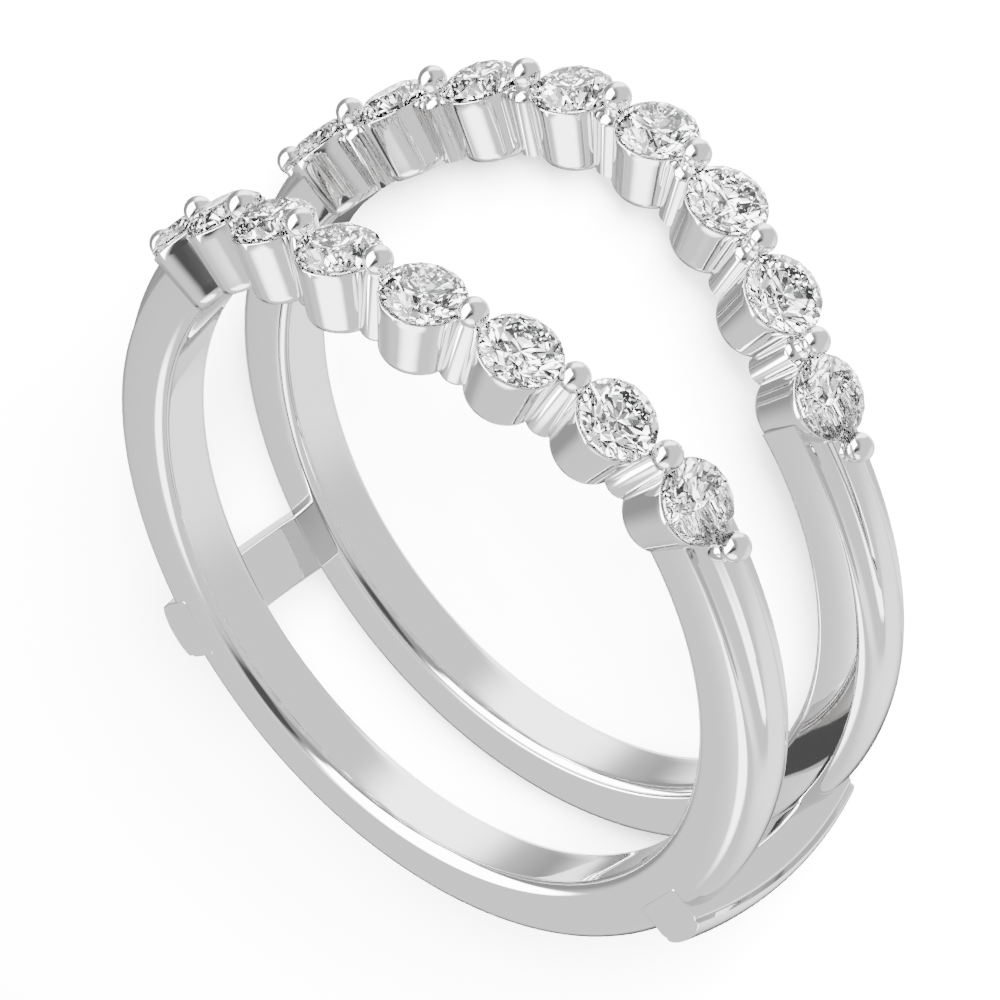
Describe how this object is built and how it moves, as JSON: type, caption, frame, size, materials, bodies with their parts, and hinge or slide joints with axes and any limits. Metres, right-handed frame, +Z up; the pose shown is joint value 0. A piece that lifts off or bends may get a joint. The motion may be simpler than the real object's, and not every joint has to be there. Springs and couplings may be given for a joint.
{
  "type": "ring guard",
  "caption": "Ring guard enhancer: two bands joined by bridge bars, each with a bowed row of round stones in cups, that clasp a solitaire ring between them.",
  "frame": {"origin": "on the floor that the ring lies on, under the middle of its bounding box", "axes": "+X along the rows of stones, +Y from the plain bottom of the bands towards the stones, +Z up, about 6 degrees off the finger hole's axis"},
  "size_m": [0.0208, 0.022, 0.0106],
  "materials": {
    "white_metal": "polished",
    "clear_stone": "polished"
  },
  "bodies": {
    "root": {"guard_frame": "white_metal", "front_stone_1": "clear_stone", "front_stone_2": "clear_stone", "front_stone_3": "clear_stone", "front_stone_4": "clear_stone", "front_stone_5": "clear_stone", "front_stone_6": "clear_stone", "front_stone_7": "clear_stone", "front_stone_8": "clear_stone", "rear_stone_1": "clear_stone", "rear_stone_2": "clear_stone", "rear_stone_3": "clear_stone", "rear_stone_4": "clear_stone", "rear_stone_5": "clear_stone", "rear_stone_6": "clear_stone", "rear_stone_7": "clear_stone", "rear_stone_8": "clear_stone"}
  },
  "joints": []
}
